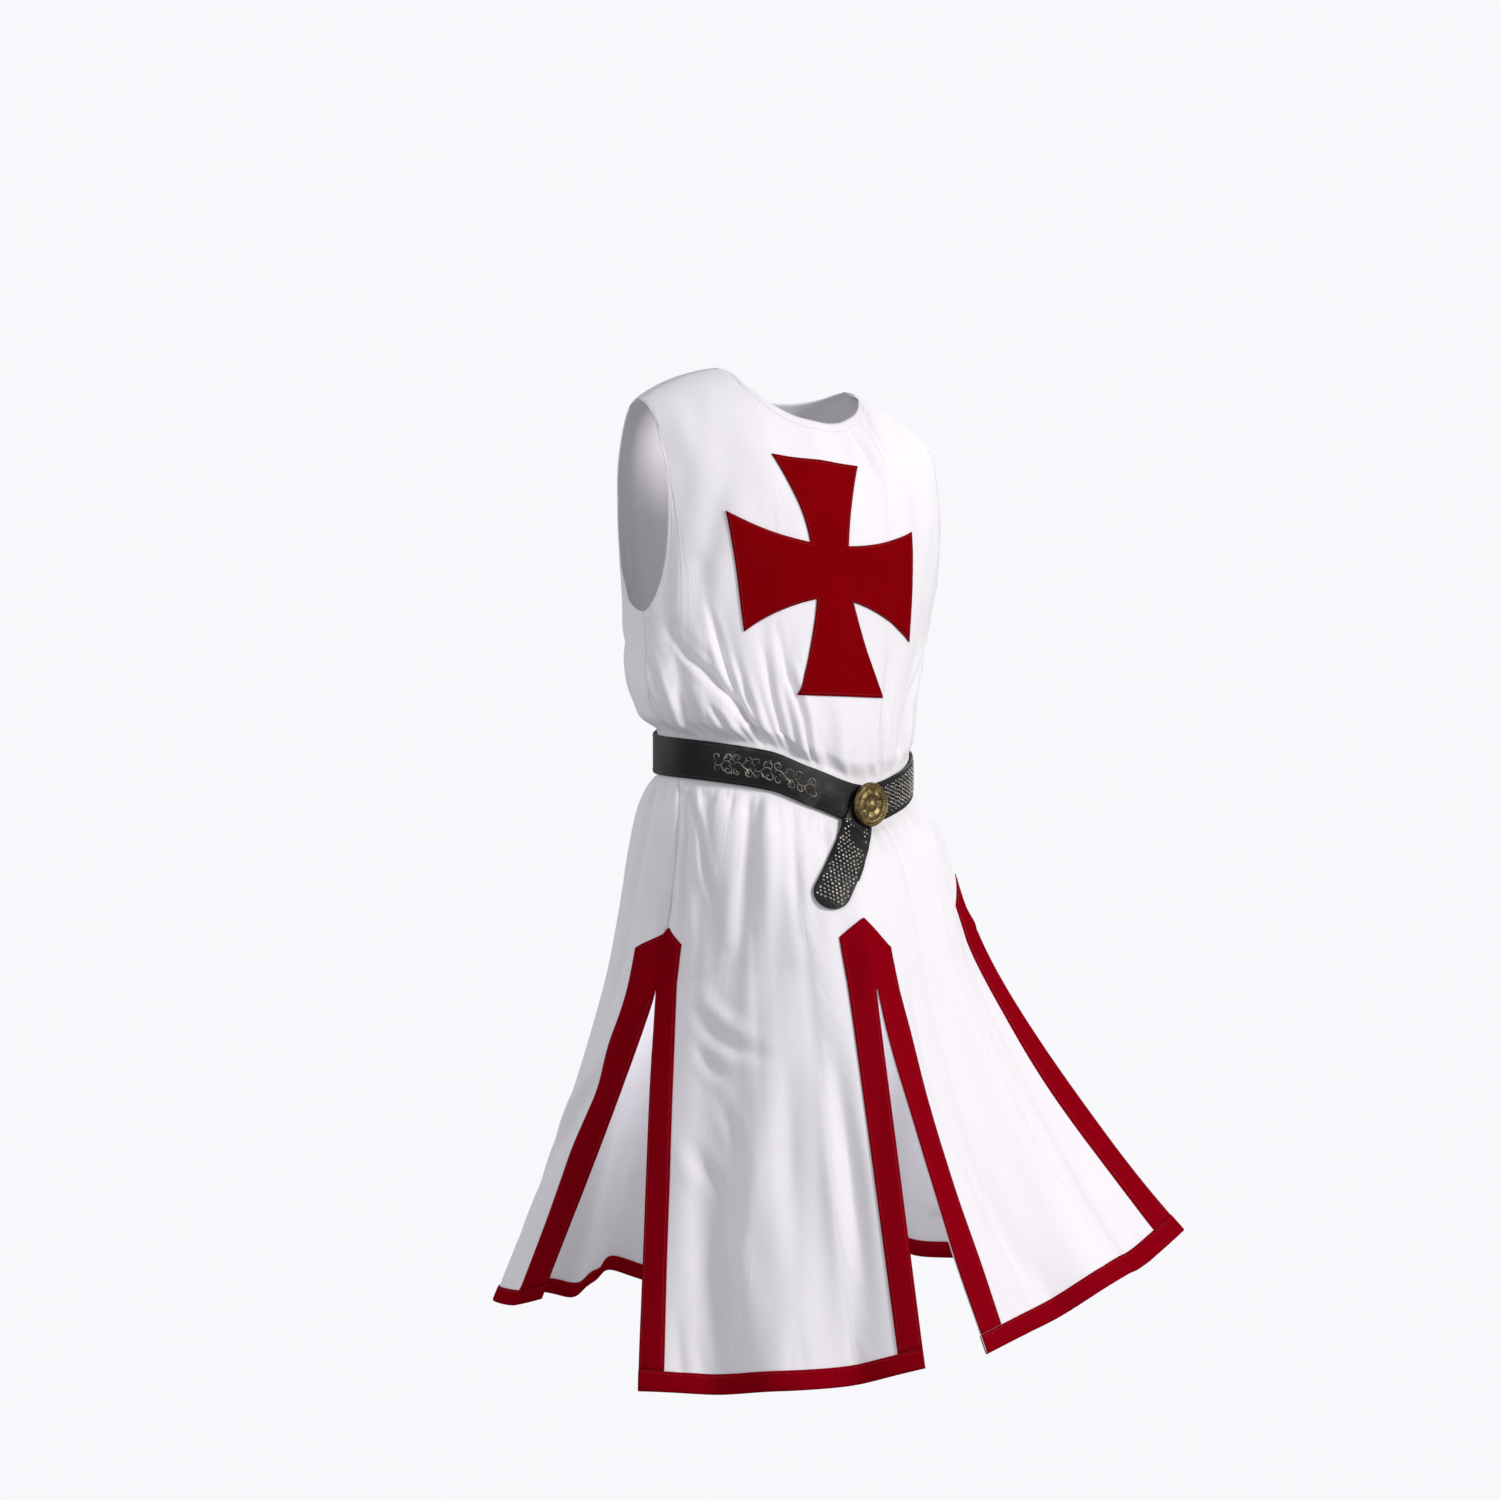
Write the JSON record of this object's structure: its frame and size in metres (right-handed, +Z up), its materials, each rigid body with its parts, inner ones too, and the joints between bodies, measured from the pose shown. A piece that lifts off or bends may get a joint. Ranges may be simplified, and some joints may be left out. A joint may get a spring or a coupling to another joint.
{
  "type": "belted tabard",
  "caption": "Knee-length sleeveless white tabard with red slit facings, red hem bindings, a red cross on the chest and a black leather belt with a round brass buckle",
  "frame": {"origin": "midway between the two neck ends of the shoulder seams, where the wearer's shoulders hold the garment", "axes": "+Z up, the front of the garment faces -Y, the wearer's left is +X"},
  "size_m": [0.5852, 0.7247, 1.0731],
  "materials": {
    "white_cloth": "white cotton twill with a faint sheen",
    "red_cloth": "deep red cotton twill, topstitched",
    "black_leather": "black grained leather, pebbled at the tail, with worn edges",
    "aged_brass": "aged brass, dark in its grooves"
  },
  "bodies": {
    "root": {"front": "white_cloth", "back": "white_cloth", "slit_trim_front": "red_cloth", "slit_trim_right": "red_cloth", "slit_trim_left": "red_cloth", "hem_trim_front_right": "red_cloth", "hem_trim_front_left": "red_cloth", "hem_trim_back": "red_cloth", "cross": "red_cloth", "belt_strap": "black_leather", "belt_tail": "black_leather", "belt_buckle": "aged_brass"}
  },
  "joints": []
}
